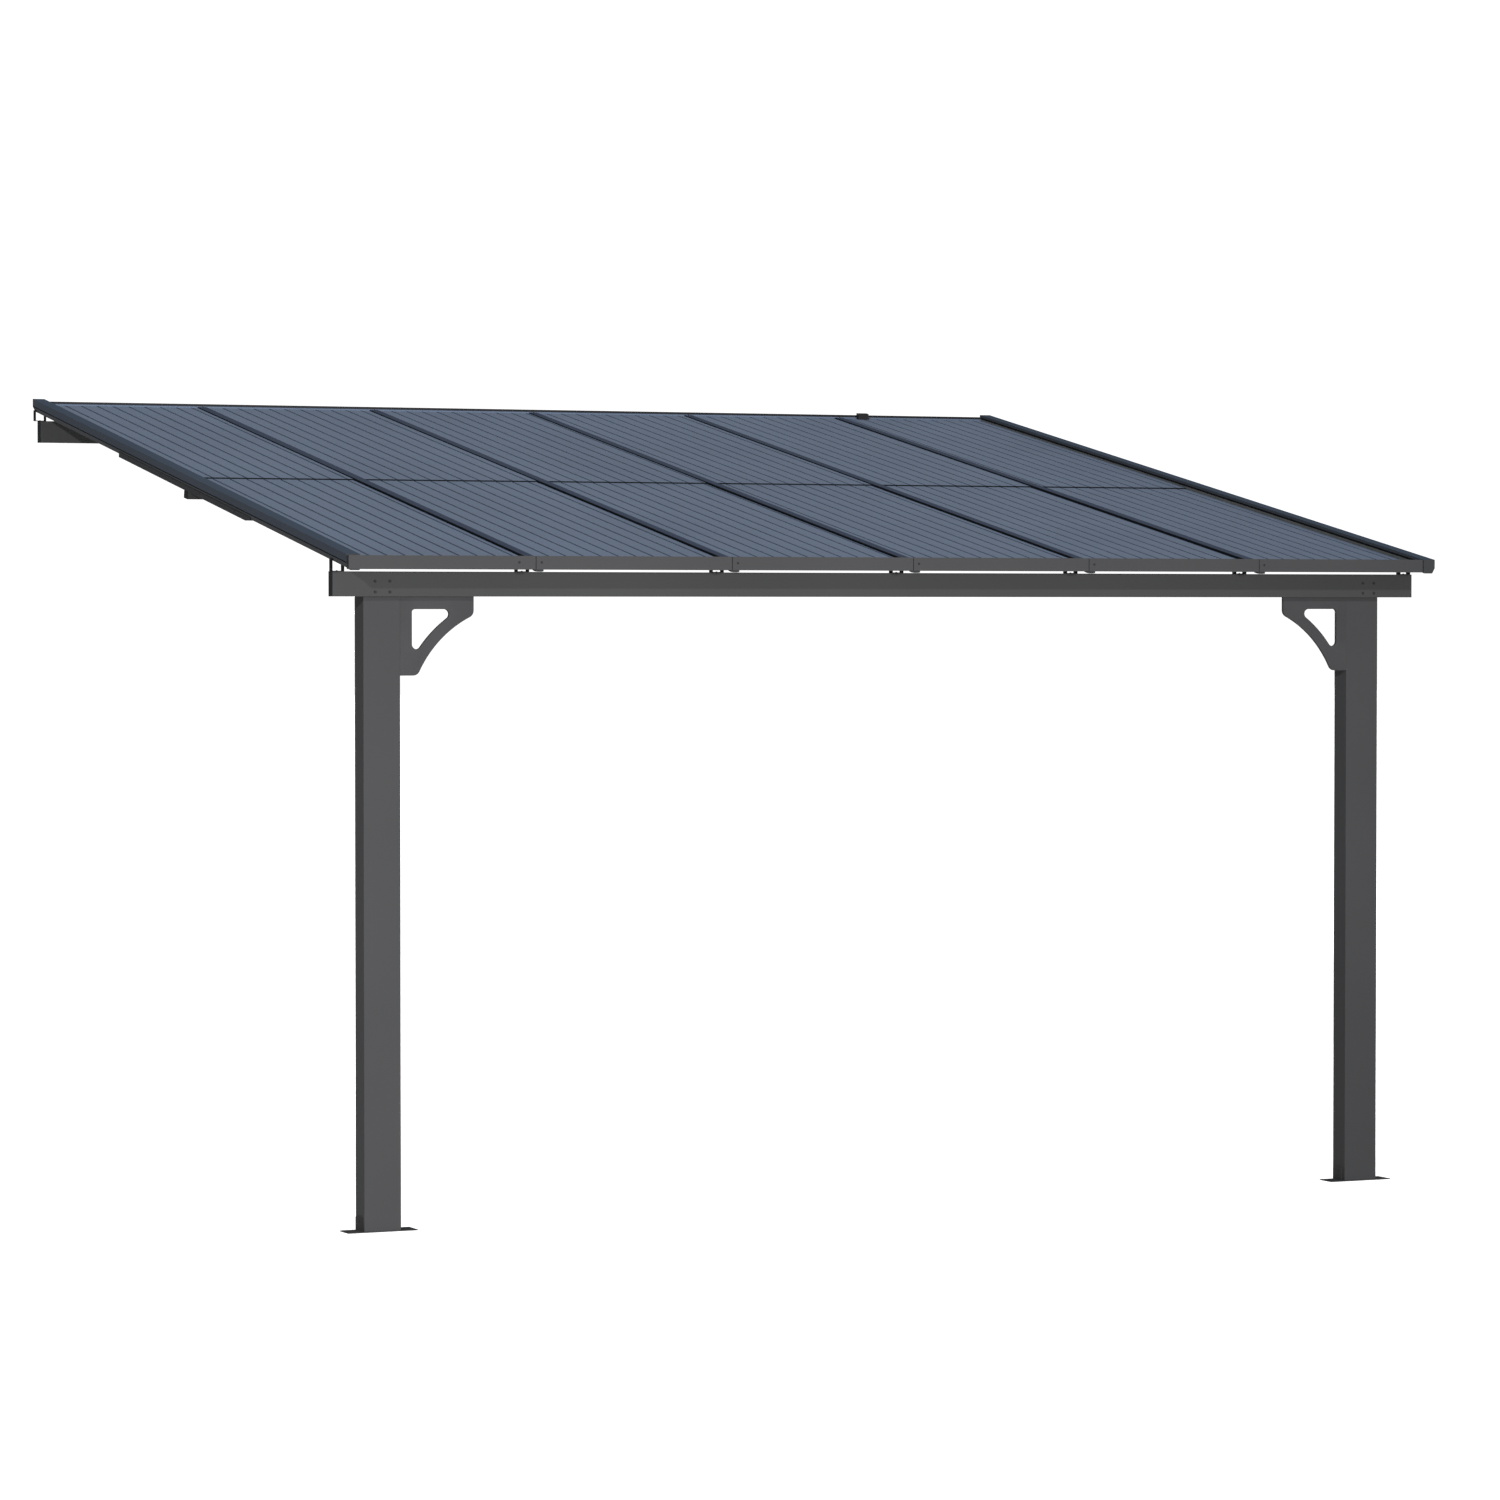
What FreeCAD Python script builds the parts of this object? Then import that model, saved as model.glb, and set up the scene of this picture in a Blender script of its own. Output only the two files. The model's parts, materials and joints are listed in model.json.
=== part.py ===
import FreeCAD, Part
import math
import os

from FreeCAD import Vector

# A lean-to pergola: two posts and a front beam carry one end of seven sloping rafters,
# and a beam bolted to the house wall carries the other. Ribbed steel sheets make the roof.
# X runs along the wall, Y = 0 is the wall and the front is at minus Y, Z is up.
# Heights are worked out above the ground, and Z = 0 ends up at the wall beam's middle.
# Roof sections are plumb: a drop is measured straight down from the edge rafters' top.

# Overall sizes, all in mm
roof_width = 4250.0
roof_reach = 3560.0
roof_pitch = 10.32
clear_height = 2160.8
beam_overhang = 125.0
eave_overhang = 160.0

# Posts and their feet
post_width = 133.4
post_depth = 84.5
post_wall = 2.0
post_corner = 1.0
post_lap = 78.0
foot_plate = 3.0
foot_depth = 85.0
foot_overhang = 60.0
foot_lead = 5.0
tab_height = 52.0
tab_depth = 58.0
tab_thickness = 2.5
tab_corner = 6.0
tab_clearance = 0.2
anchor_radius = 5.5

# Front beam, wall beam and cross rail
beam_height = 84.8
beam_depth = 36.0
beam_wall = 2.0
beam_cap = 2.0
wall_beam_inset = 19.0
wall_hole_radius = 5.5
wall_hole_reaches = (350.0, 1050.0, 1750.0)
rail_depth = 40.0
rail_height = 27.0
rail_wall = 1.5
rail_from_wall = 1874.0

# Rafters
rafter_height = 51.0
rafter_width = 39.5
rafter_wall = 2.0
rafter_side = 9.0
rafter_foot = 15.5
edge_width = 48.0
edge_height = 27.0
edge_groove_depth = 2.6
edge_groove_height = 4.0
edge_chamfer_width = 11.0
edge_chamfer_height = 19.5
edge_fold = 2.0
sheet_seat = 31.0
seat_ledge = 14.0
stem_width = 8.0
first_bay = 674.0
second_bay = 733.0
rafter_count = 7
front_beam_gap = 31.3
wall_beam_gap = 30.7

# Cover strips on the five inner rafters
cover_width = 34.0
cover_top = 19.0
cover_wall = 1.5
cover_lip = 3.5
cover_clearance = 0.3

# Clips that hold the rafters on the beams
clip_wall = 2.0
clip_depth = 28.0
clip_setback = 6.0
clip_clearance = 0.25
clip_top_drop = 33.5
edge_clip_top_drop = 40.0

# Splice sleeves under the rafters
sleeve_wall = 2.0
sleeve_drop = 9.0
sleeve_top_drop = 33.5
sleeve_front_from_wall = 2514.0
sleeve_back_from_wall = 1085.0

# Gutter at the eave
gutter_height = 46.7
gutter_depth = 20.0
gutter_wall = 1.5
gutter_back_height = 18.0
gutter_gap = 2.6
end_cap = 2.0

# Ribbed roof sheets
sheet_thickness = 0.8
sheet_drop = 27.0
upper_raise = 4.0
rib_pitch = 65.65
rib_mouth = 10.0
rib_floor = 4.0
rib_depth = 5.4
rib_margin = 3.0
left_rib_start = 40.5
right_rib_start = 62.0
sheet_clearance = 0.6
sheet_inset = 1.2
sheet_front_setback = 10.0
sheet_wall_gap = 4.0
seam_from_wall = 1788.0
seam_overlap = 60.0

# Flashing, stub and inner rafters' ends at the wall
wall_gap = 1.0
flashing_wall = 1.2
flashing_depth = 12.0
flashing_top_drop = 9.5
closure_top_drop = 17.8
closure_lip = 1.5
stub_width = 48.0
stub_depth = 20.0
stub_proud = 1.0
stub_from_rafter = 104.5

# Corner braces
brace_reach = 269.0
brace_thickness = 12.0
brace_leg = 43.0
brace_arc_offset = 28.0
brace_arc_share = 1.515
brace_band = 40.0
brace_tip_fillet = 26.0
window_corner_fillet = 10.5
window_tip_fillet = 17.0
brace_lap = 50.0
flange_thickness = 3.0
flange_depth = 28.0

# Values that follow from the ones above
slope = math.tan(math.radians(roof_pitch))
eave_y = -roof_reach
front_beam_y = eave_y + eave_overhang
post_front_y = front_beam_y + beam_depth
post_span = roof_width - 2 * beam_overhang
post_centre_x = (post_span - post_width) / 2
beam_top_height = clear_height + beam_height
brace_arc_radius = brace_reach * brace_arc_share
brace_arc_centre = brace_arc_radius + brace_arc_offset
rafter_start_y = eave_y + gutter_depth
edge_centre_x = (roof_width - edge_width) / 2
edge_groove_end = edge_height + edge_groove_height
edge_bottom = edge_groove_end + edge_chamfer_height
stem_top = cover_top + cover_wall
upper_sheet_drop = sheet_drop - upper_raise
flashing_front_y = -wall_gap - flashing_depth
closure_front_y = flashing_front_y - closure_lip


def roof_height(y, drop=0.0):
    """Height above the ground of the edge rafters' top at y, less a plumb drop."""
    above_beam = beam_top_height + front_beam_gap + rafter_height
    return above_beam + slope * (y - front_beam_y) - drop


wall_beam_top = roof_height(-beam_depth, rafter_height) - wall_beam_gap
wall_beam_middle = wall_beam_top - beam_height / 2


def rafter_centres():
    """X of each rafter: the first two bays have their own widths, the rest share."""
    bays = rafter_count - 1
    shared = (2 * edge_centre_x - first_bay - second_bay) / (bays - 2)
    centres = [-edge_centre_x, first_bay - edge_centre_x]
    centres.append(centres[-1] + second_bay)
    while len(centres) < rafter_count - 1:
        centres.append(centres[-1] + shared)
    return centres + [edge_centre_x]


def box(x0, x1, y0, y1, z0, z1):
    return Part.makeBox(x1 - x0, y1 - y0, z1 - z0, Vector(x0, y0, z0))


def closed_face(points):
    return Part.Face(Part.makePolygon(points + [points[0]]))


def roof_bar(outline, y0, y1, hollows=()):
    """A bar that follows the roof's slope with plumb ends; outline is (x, drop) pairs."""
    def section(pairs):
        return closed_face([Vector(x, y0, roof_height(y0, drop)) for x, drop in pairs])

    run = Vector(0, y1 - y0, slope * (y1 - y0))
    bar = section(outline).extrude(run)
    for hollow in hollows:
        bar = bar.cut(section(hollow).extrude(run))
    return bar


def mirrored(shape):
    return shape.mirror(Vector(0, 0, 0), Vector(1, 0, 0))


def shifted(pairs, dx):
    return [(x + dx, drop) for x, drop in pairs]


def tube_along_x(half_length, y0, z0, depth, height, wall):
    outer = box(-half_length, half_length, y0, y0 + depth, z0, z0 + height)
    inner = box(-half_length, half_length, y0 + wall, y0 + depth - wall, z0 + wall, z0 + height - wall)
    return outer.cut(inner)


def post():
    """Hollow post whose front face lies against the back of the front beam."""
    x0 = -post_centre_x - post_width / 2
    x1 = x0 + post_width
    y0, y1 = post_front_y, post_front_y + post_depth
    top = clear_height + post_lap
    outer = box(x0, x1, y0, y1, foot_plate, top)
    upright = [e for e in outer.Edges if abs(e.tangentAt(e.FirstParameter).z) > 0.9]
    outer = outer.makeFillet(post_corner, upright)
    w = post_wall
    return outer.cut(box(x0 + w, x1 - w, y0 + w, y1 - w, foot_plate, top))


def foot():
    """Base plate with two upright tabs that clasp the post, and one anchor hole a side."""
    half_post = post_width / 2
    half = half_post + foot_overhang
    y0 = post_front_y - foot_lead
    y1 = y0 + foot_depth
    plate = box(-half, half, y0, y1, 0, foot_plate)
    for side in (-1, 1):
        inner = side * (half_post + tab_clearance)
        outer = inner + side * tab_thickness
        outline = [(y1 - tab_depth, 0), (y1, 0), (y1, tab_height - tab_corner),
                   (y1 - tab_corner, tab_height), (y1 - tab_depth + tab_corner, tab_height),
                   (y1 - tab_depth, tab_height - tab_corner)]
        tab = closed_face([Vector(inner, y, z) for y, z in outline]).extrude(Vector(outer - inner, 0, 0))
        plate = plate.fuse(tab)
        hole_x = side * (half_post + foot_overhang / 2)
        plate = plate.cut(Part.makeCylinder(anchor_radius, foot_plate, Vector(hole_x, (y0 + y1) / 2, 0)))
    plate = plate.removeSplitter()
    plate.translate(Vector(-post_centre_x, 0, 0))
    return plate


def brace_point(across, down):
    """A point of the left brace, measured from the corner of post and beam."""
    corner_x = -post_centre_x + post_width / 2
    return Vector(corner_x + across, post_front_y, clear_height - down)


def arc_down(across, radius):
    """How far down a circle about the brace's arc centre lies at this distance across."""
    c = brace_arc_centre
    return c - math.sqrt(radius ** 2 - (c - across) ** 2)


def arc_edge(start, end, radius):
    """The concave arc of the brace between two distances across."""
    middle = brace_arc_centre - radius / math.sqrt(2)
    return Part.Arc(brace_point(start, arc_down(start, radius)), brace_point(middle, middle),
                    brace_point(end, arc_down(end, radius))).toShape()


def line(a, b):
    return Part.makeLine(a, b)


def upright_fillet(solid, radius, spots):
    """Rounds the edges that run through the plate at the named corners."""
    edges = []
    for edge in solid.Edges:
        if abs(edge.tangentAt(edge.FirstParameter).y) < 0.9:
            continue
        start = edge.Vertexes[0].Point
        if any(math.hypot(start.x - s.x, start.z - s.z) < 0.1 for s in spots):
            edges.append(edge)
    return solid.makeFillet(radius, edges)


def brace():
    """Cast corner brace: two legs, a concave band between them and a window."""
    reach, leg = brace_reach, brace_leg
    tip = arc_down(reach, brace_arc_radius)
    thick = Vector(0, brace_thickness, 0)
    outline = Part.Wire([
        line(brace_point(0, reach), brace_point(0, -brace_lap)),
        line(brace_point(0, -brace_lap), brace_point(reach, -brace_lap)),
        line(brace_point(reach, -brace_lap), brace_point(reach, tip)),
        arc_edge(reach, tip, brace_arc_radius),
        line(brace_point(tip, reach), brace_point(0, reach))])
    plate = Part.Face(outline).extrude(thick)
    plate = upright_fillet(plate, brace_tip_fillet, [brace_point(reach, tip), brace_point(tip, reach)])
    inner = brace_arc_radius + brace_band
    far = arc_down(leg, inner)
    window = Part.Face(Part.Wire([
        line(brace_point(leg, far), brace_point(leg, leg)),
        line(brace_point(leg, leg), brace_point(far, leg)),
        arc_edge(far, leg, inner)])).extrude(thick)
    window = upright_fillet(window, window_tip_fillet, [brace_point(leg, far), brace_point(far, leg)])
    window = upright_fillet(window, window_corner_fillet, [brace_point(leg, leg)])
    low, high = brace_point(0, reach), brace_point(flange_thickness, -brace_lap)
    flange = box(low.x, high.x, post_front_y, post_front_y + brace_thickness + flange_depth, low.z, high.z)
    return plate.cut(window).fuse(flange).removeSplitter()


def front_beam():
    return tube_along_x(roof_width / 2 - beam_cap, front_beam_y, clear_height, beam_depth, beam_height, beam_wall)


def wall_beam():
    """Tube on the wall with bolt holes through both of its walls."""
    half = roof_width / 2 - wall_beam_inset - beam_cap
    beam = tube_along_x(half, -beam_depth, wall_beam_top - beam_height, beam_depth, beam_height, beam_wall)
    for reach in wall_hole_reaches:
        for side in (-1, 1):
            start = Vector(side * reach, -beam_depth, wall_beam_middle)
            beam = beam.cut(Part.makeCylinder(wall_hole_radius, beam_depth, start, Vector(0, 1, 0)))
    return beam


def tilted_rail_section(grow):
    """Outline of the cross rail, square to the rafters, under the splice sleeves."""
    y = -rail_from_wall
    top = Vector(0, y, roof_height(y, rafter_height + sleeve_drop))
    pitch = math.radians(roof_pitch)
    along = Vector(0, math.cos(pitch), math.sin(pitch))
    down = Vector(0, math.sin(pitch), -math.cos(pitch))
    half = rail_depth / 2 - grow
    return [top + along * u + down * v for u, v in
            ((-half, grow), (half, grow), (half, rail_height - grow), (-half, rail_height - grow))]


def along_x(points, x0, x1):
    return closed_face([p + Vector(x0, 0, 0) for p in points]).extrude(Vector(x1 - x0, 0, 0))


def cross_rail():
    half = roof_width / 2 - beam_cap
    return along_x(tilted_rail_section(0), -half, half).cut(along_x(tilted_rail_section(rail_wall), -half, half))


def beam_end_caps():
    """Flat caps on both ends of the two beams and the cross rail."""
    caps = []
    wall_half = roof_width / 2 - wall_beam_inset
    for half, y0, z0 in ((roof_width / 2, front_beam_y, clear_height),
                         (wall_half, -beam_depth, wall_beam_top - beam_height)):
        caps.append(box(half - beam_cap, half, y0, y0 + beam_depth, z0, z0 + beam_height))
    caps.append(along_x(tilted_rail_section(0), roof_width / 2 - beam_cap, roof_width / 2))
    return caps + [mirrored(cap) for cap in caps]


def lower_outline(inset=0.0):
    """Tapered lower half of every rafter, as (x, drop) pairs from one top corner round."""
    half = rafter_width / 2 - inset
    foot_half = rafter_foot / 2 - inset / 2
    side = sheet_seat + rafter_side - inset / 2
    floor = rafter_height - inset
    return [(-half, side), (-foot_half, floor), (foot_half, floor), (half, side)]


def inner_rafter(x, y0, y1):
    half, stem = rafter_width / 2, stem_width / 2
    outline = [(-half, sheet_seat)] + lower_outline() + [
        (half, sheet_seat), (stem, sheet_seat), (stem, stem_top), (-stem, stem_top), (-stem, sheet_seat)]
    w = rafter_wall
    hollow = [(-half + w, sheet_seat + w)] + lower_outline(w) + [(half - w, sheet_seat + w)]
    return roof_bar(shifted(outline, x), y0, y1, [shifted(hollow, x)])


def left_edge_rafter(y0, y1):
    """Edge rafter: a square upper box over a lower half that is chamfered on the outside,
    with a shallow groove between them and a ledge for the sheet on the inside."""
    outer, inner, w = edge_width / 2, rafter_width / 2, rafter_wall
    groove = outer - edge_groove_depth
    foot_x = outer - edge_chamfer_width
    ledge_bottom = sheet_seat + w
    outline = [(-outer, 0), (-outer, edge_height), (-groove, edge_height), (-groove, edge_groove_end),
               (-outer, edge_groove_end), (-foot_x, edge_bottom), (inner, edge_bottom),
               (inner, ledge_bottom), (outer + seat_ledge, ledge_bottom),
               (outer + seat_ledge, sheet_seat), (outer, sheet_seat), (outer, 0)]
    upper_hollow = [(-outer + w, w), (-outer + w, edge_height - w), (outer - w, edge_height - w), (outer - w, w)]
    lower_hollow = [(-groove + w, edge_height + w), (-groove + w, edge_groove_end + w), (-foot_x + w, edge_bottom - w),
                    (inner - w, edge_bottom - w), (inner - w, edge_height + w)]
    x = -edge_centre_x
    return roof_bar(shifted(outline, x), y0, y1, [shifted(upper_hollow, x), shifted(lower_hollow, x)])


def cover_strips(centres):
    """Cap strips that clamp the sheets over the five inner rafters."""
    half, w = cover_width / 2, cover_wall
    lip = cover_top + cover_lip
    rear = closure_front_y - cover_clearance
    outline = [(-half, cover_top), (half, cover_top), (half, lip), (half - w, lip),
               (half - w, cover_top + w), (-half + w, cover_top + w), (-half + w, lip), (-half, lip)]
    return [roof_bar(shifted(outline, x), rafter_start_y, rear) for x in centres[1:-1]]


def leg_top_drop(x, centres, inner_drop):
    """The edge rafters' chamfer leaves room for shorter legs only."""
    return edge_clip_top_drop if x in (centres[0], centres[-1]) else inner_drop


def clip(x, beam_y, base_height, top_drop):
    """U-shaped strap on a beam; its legs hold a rafter's sides."""
    inner = rafter_width / 2 + clip_clearance
    outer = inner + clip_wall
    y0 = beam_y + clip_setback
    top = roof_height(y0, top_drop)
    strap = box(x - outer, x + outer, y0, y0 + clip_depth, base_height, top)
    opening = box(x - inner, x + inner, y0, y0 + clip_depth, base_height + clip_wall, top)
    return strap.cut(opening)


def sleeve(x, top):
    """Channel under a rafter's splice, with its front end cut level."""
    inner = rafter_width / 2 + clip_clearance
    outer = inner + sleeve_wall
    bottom = rafter_height + sleeve_drop
    floor = bottom - sleeve_wall
    outline = [(-outer, top), (-outer, bottom), (outer, bottom), (outer, top)]
    hollow = [(-inner, top), (-inner, floor), (inner, floor), (inner, top)]
    y0, y1 = -sleeve_front_from_wall, -sleeve_back_from_wall
    level_run = sleeve_drop / slope
    bar = roof_bar(shifted(outline, x), y0 - level_run, y1, [shifted(hollow, x)])
    level = roof_height(y0, bottom)
    below = box(x - outer, x + outer, y0 - level_run, y0, level - rafter_height, level)
    return bar.cut(below)


def gutter(x0, x1):
    """Shallow trough in front of the rafter ends; its back wall ends below the sheets."""
    top = roof_height(eave_y)
    bottom = top - gutter_height
    y0, y1, w = eave_y, eave_y + gutter_depth, gutter_wall
    back = bottom + gutter_back_height
    section = [(y0, bottom), (y1, bottom), (y1, back), (y1 - w, back), (y1 - w, bottom + w),
               (y0 + w, bottom + w), (y0 + w, top), (y0, top)]
    return along_x([Vector(0, y, z) for y, z in section], x0, x1)


def gutter_seams(centres):
    """X of the gutters' ends: the first covers the left rafter's end, the last stops
    beside the right rafter, and each seam lies by the left face of an inner rafter."""
    seams = [x - (rafter_width + gutter_gap) / 2 for x in centres[1:-1]]
    left = -roof_width / 2 - gutter_gap / 2
    right = edge_centre_x - edge_width / 2 - gutter_gap / 2
    return [left] + seams + [right]


def left_edge_cap(y):
    """Flat cap on an end of the left edge rafter."""
    half, foot_x = edge_width / 2, edge_width / 2 - edge_chamfer_width
    outline = [(-half, 0), (-half, edge_groove_end), (-foot_x, edge_bottom),
               (half - edge_fold, edge_bottom), (half, edge_bottom - edge_fold), (half, 0)]
    return roof_bar(shifted(outline, -edge_centre_x), y, y + end_cap)


def front_end_caps(centres):
    """Caps on the front ends; only the right edge rafter reaches past the gutter's back."""
    caps = [left_edge_cap(rafter_start_y), mirrored(left_edge_cap(eave_y))]
    half = rafter_width / 2
    taper = [(-half, sheet_seat)] + lower_outline() + [(half, sheet_seat)]
    for x in centres[1:-1]:
        caps.append(roof_bar(shifted(taper, x), rafter_start_y, rafter_start_y + end_cap))
    return caps


def rear_end_caps():
    return [left_edge_cap(-end_cap), mirrored(left_edge_cap(-end_cap))]


def rib_positions(centres, bay, x0, x1):
    """The ribs run on at one pitch over the bays, from the left edge and from the middle."""
    middle = len(centres) // 2
    x = centres[0] + left_rib_start if bay < middle else centres[middle] + right_rib_start
    keep_off = rib_mouth / 2 + rib_margin
    ribs = []
    while x < x1 - keep_off:
        if x > x0 + keep_off:
            ribs.append(x)
        x += rib_pitch
    return ribs


def sheet_profile(centres, bay, x0, x1, drop):
    """Ribbed sheet with turned-down long edges that stand on the rafters' seats."""
    mouth, floor = rib_mouth / 2, rib_floor / 2
    top = [(x0, drop)]
    for x in rib_positions(centres, bay, x0, x1):
        top += [(x - mouth, drop), (x - floor, drop + rib_depth), (x + floor, drop + rib_depth), (x + mouth, drop)]
    top.append((x1, drop))
    t = sheet_thickness
    under = [(x, d + t) for x, d in reversed(top[1:-1])]
    right_lip = [(x1, sheet_seat), (x1 - t, sheet_seat), (x1 - t, drop + t)]
    left_lip = [(x0 + t, drop + t), (x0 + t, sheet_seat), (x0, sheet_seat)]
    return top + right_lip + under + left_lip


def bay_limits(centres, bay):
    """Where a sheet of this bay may start and end, clear of the stems or edge boxes."""
    left_half = edge_width / 2 if bay == 0 else stem_width / 2
    right_half = edge_width / 2 if bay == len(centres) - 2 else stem_width / 2
    return centres[bay] + left_half + sheet_clearance, centres[bay + 1] - right_half - sheet_clearance


def lower_sheet(centres, bay):
    x0, x1 = bay_limits(centres, bay)
    profile = sheet_profile(centres, bay, x0 + sheet_inset, x1 - sheet_inset, sheet_drop)
    return roof_bar(profile, eave_y + sheet_front_setback, -seam_from_wall + seam_overlap)


def upper_sheet(centres, bay):
    x0, x1 = bay_limits(centres, bay)
    profile = sheet_profile(centres, bay, x0, x1, upper_sheet_drop)
    return roof_bar(profile, -seam_from_wall, -sheet_wall_gap)


def wall_flashing(centres):
    """Angle strip that lies on the sheets, notched over the rafters' stems, with an upstand."""
    half = edge_centre_x - edge_width / 2 - sheet_clearance
    y1 = -wall_gap
    y0 = y1 - flashing_depth
    t, seat = flashing_wall, upper_sheet_drop
    leg = roof_bar([(-half, seat - t), (half, seat - t), (half, seat), (-half, seat)], y0, y1)
    upstand = box(-half, half, y1 - t, y1, roof_height(y1 - t, seat), roof_height(0, flashing_top_drop))
    angle = leg.fuse(upstand).removeSplitter()
    notch = stem_width / 2 + sheet_clearance
    for x in centres[1:-1]:
        angle = angle.cut(roof_bar([(x - notch, stem_top - sheet_clearance), (x + notch, stem_top - sheet_clearance),
                                    (x + notch, sheet_seat), (x - notch, sheet_seat)], y0, y1))
    return angle


def over_flashing(x0, x1, top, y0, y1):
    """Bar from y0 to y1 that lies on the sheets in front and is stepped over the flashing."""
    def block(bottom, start, end):
        return roof_bar([(x0, top), (x1, top), (x1, bottom), (x0, bottom)], start, end)

    step_y = flashing_front_y - sheet_clearance / 2
    rear = block(upper_sheet_drop - flashing_wall, y0, y1)
    return rear.fuse(block(upper_sheet_drop, y0, step_y)).removeSplitter()


def sheet_closures(centres):
    """Strips that close the sheets' rear ends, one to a bay between the stems."""
    strips = []
    for bay in range(len(centres) - 1):
        x0, x1 = bay_limits(centres, bay)
        strips.append(over_flashing(x0, x1, closure_top_drop, closure_front_y, -wall_gap - flashing_wall))
    return strips


def wall_stub(centres):
    """Small block beside the last inner rafter, in front of the closure strip."""
    x = centres[-2] + stub_from_rafter
    half = stub_width / 2
    y1 = closure_front_y
    outline = [(x - half, -stub_proud), (x + half, -stub_proud), (x + half, upper_sheet_drop), (x - half, upper_sheet_drop)]
    return roof_bar(outline, y1 - stub_depth, y1)


def build():
    centres = rafter_centres()
    nodes = {"left_post": post(), "left_foot": foot(), "left_brace": brace()}
    nodes["right_post"] = mirrored(nodes["left_post"])
    nodes["right_foot"] = mirrored(nodes["left_foot"])
    nodes["right_brace"] = mirrored(nodes["left_brace"])
    nodes["front_beam"] = front_beam()
    nodes["wall_beam"] = wall_beam()
    nodes["cross_rail"] = cross_rail()
    nodes["beam_end_caps"] = Part.makeCompound(beam_end_caps())
    nodes["rafter_1"] = left_edge_rafter(rafter_start_y + end_cap, -end_cap)
    nodes[f"rafter_{rafter_count}"] = mirrored(left_edge_rafter(eave_y + end_cap, -end_cap))
    for i, x in enumerate(centres[1:-1]):
        nodes[f"rafter_{i + 2}"] = inner_rafter(x, rafter_start_y + end_cap, -wall_gap)
    nodes["cover_strips"] = Part.makeCompound(cover_strips(centres))
    nodes["splice_sleeves"] = Part.makeCompound(
        [sleeve(x, leg_top_drop(x, centres, sleeve_top_drop)) for x in centres])
    for name, y, height in (("front_clips", front_beam_y, beam_top_height), ("wall_clips", -beam_depth, wall_beam_top)):
        nodes[name] = Part.makeCompound(
            [clip(x, y, height, leg_top_drop(x, centres, clip_top_drop)) for x in centres])
    nodes["front_end_caps"] = Part.makeCompound(front_end_caps(centres))
    nodes["rear_end_caps"] = Part.makeCompound(rear_end_caps())
    seams = gutter_seams(centres)
    for bay in range(rafter_count - 1):
        nodes[f"gutter_{bay + 1}"] = gutter(seams[bay] + gutter_gap / 2, seams[bay + 1] - gutter_gap / 2)
        nodes[f"lower_sheet_{bay + 1}"] = lower_sheet(centres, bay)
        nodes[f"upper_sheet_{bay + 1}"] = upper_sheet(centres, bay)
    nodes["wall_flashing"] = wall_flashing(centres)
    nodes["sheet_closures"] = Part.makeCompound(sheet_closures(centres))
    nodes["wall_stub"] = wall_stub(centres)
    return nodes


os.makedirs("parts", exist_ok=True)
total_volume = 0.0
for name, shape in build().items():
    shape.translate(Vector(0, 0, -wall_beam_middle))
    shape.exportStep(f"parts/{name}.step")
    total_volume += shape.Volume
    print(name, len(shape.Solids), "solids", shape.isValid(), round(shape.Volume / 1000.0, 1), "cm3")
print("ground at z", round(-wall_beam_middle, 3), "total volume", round(total_volume / 1e6, 2), "litres")
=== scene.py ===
import bpy, bmesh, json, math
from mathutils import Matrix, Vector


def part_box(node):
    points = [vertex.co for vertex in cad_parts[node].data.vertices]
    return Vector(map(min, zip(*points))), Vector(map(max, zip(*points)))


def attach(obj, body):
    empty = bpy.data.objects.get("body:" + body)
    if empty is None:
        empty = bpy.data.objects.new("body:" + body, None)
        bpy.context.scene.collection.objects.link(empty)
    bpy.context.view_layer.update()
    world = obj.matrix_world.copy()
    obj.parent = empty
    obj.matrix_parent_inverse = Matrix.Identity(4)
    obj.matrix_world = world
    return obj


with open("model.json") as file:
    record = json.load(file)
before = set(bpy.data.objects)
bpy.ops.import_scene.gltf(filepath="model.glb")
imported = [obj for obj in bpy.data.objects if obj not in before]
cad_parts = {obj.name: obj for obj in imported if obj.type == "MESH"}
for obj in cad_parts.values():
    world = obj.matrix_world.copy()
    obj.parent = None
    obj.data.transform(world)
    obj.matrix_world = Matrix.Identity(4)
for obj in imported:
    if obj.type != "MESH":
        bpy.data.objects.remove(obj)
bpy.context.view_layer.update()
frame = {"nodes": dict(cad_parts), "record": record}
nodes = frame["nodes"]
print("frame loaded:", len(nodes), "nodes")


# shader nodes

def lit(red, green, blue):
    # a colour read off a screen, 0 to 255, as the linear value a shader wants
    channels = []
    for value in (red, green, blue):
        value /= 255
        channels.append(value / 12.92 if value <= 0.04045 else ((value + 0.055) / 1.055) ** 2.4)
    return (*channels, 1.0)


def newMaterial(name):
    material = bpy.data.materials.new(name)
    material.use_nodes = True
    material.node_tree.nodes.clear()
    return material, material.node_tree


def addNode(tree, kind, values=None):
    # a shader node with some of its sockets set
    node = tree.nodes.new("ShaderNode" + kind)
    for socket, value in (values or {}).items():
        node.inputs[socket].default_value = value
    return node


def noise(tree, scale, detail):
    # soft noise that stays in place on the piece
    coords = addNode(tree, "TexCoord")
    texture = addNode(tree, "TexNoise", {"Scale": scale, "Detail": detail})
    tree.links.new(coords.outputs["Object"], texture.inputs["Vector"])
    return texture.outputs["Fac"]


def remap(tree, value, before, after, interpolation="LINEAR"):
    # a value carried over from one range to another
    node = addNode(tree, "MapRange")
    node.interpolation_type = interpolation
    for socket, end in zip(("From Min", "From Max", "To Min", "To Max"), (*before, *after)):
        node.inputs[socket].default_value = end
    tree.links.new(value, node.inputs["Value"])
    return node.outputs["Result"]


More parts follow.
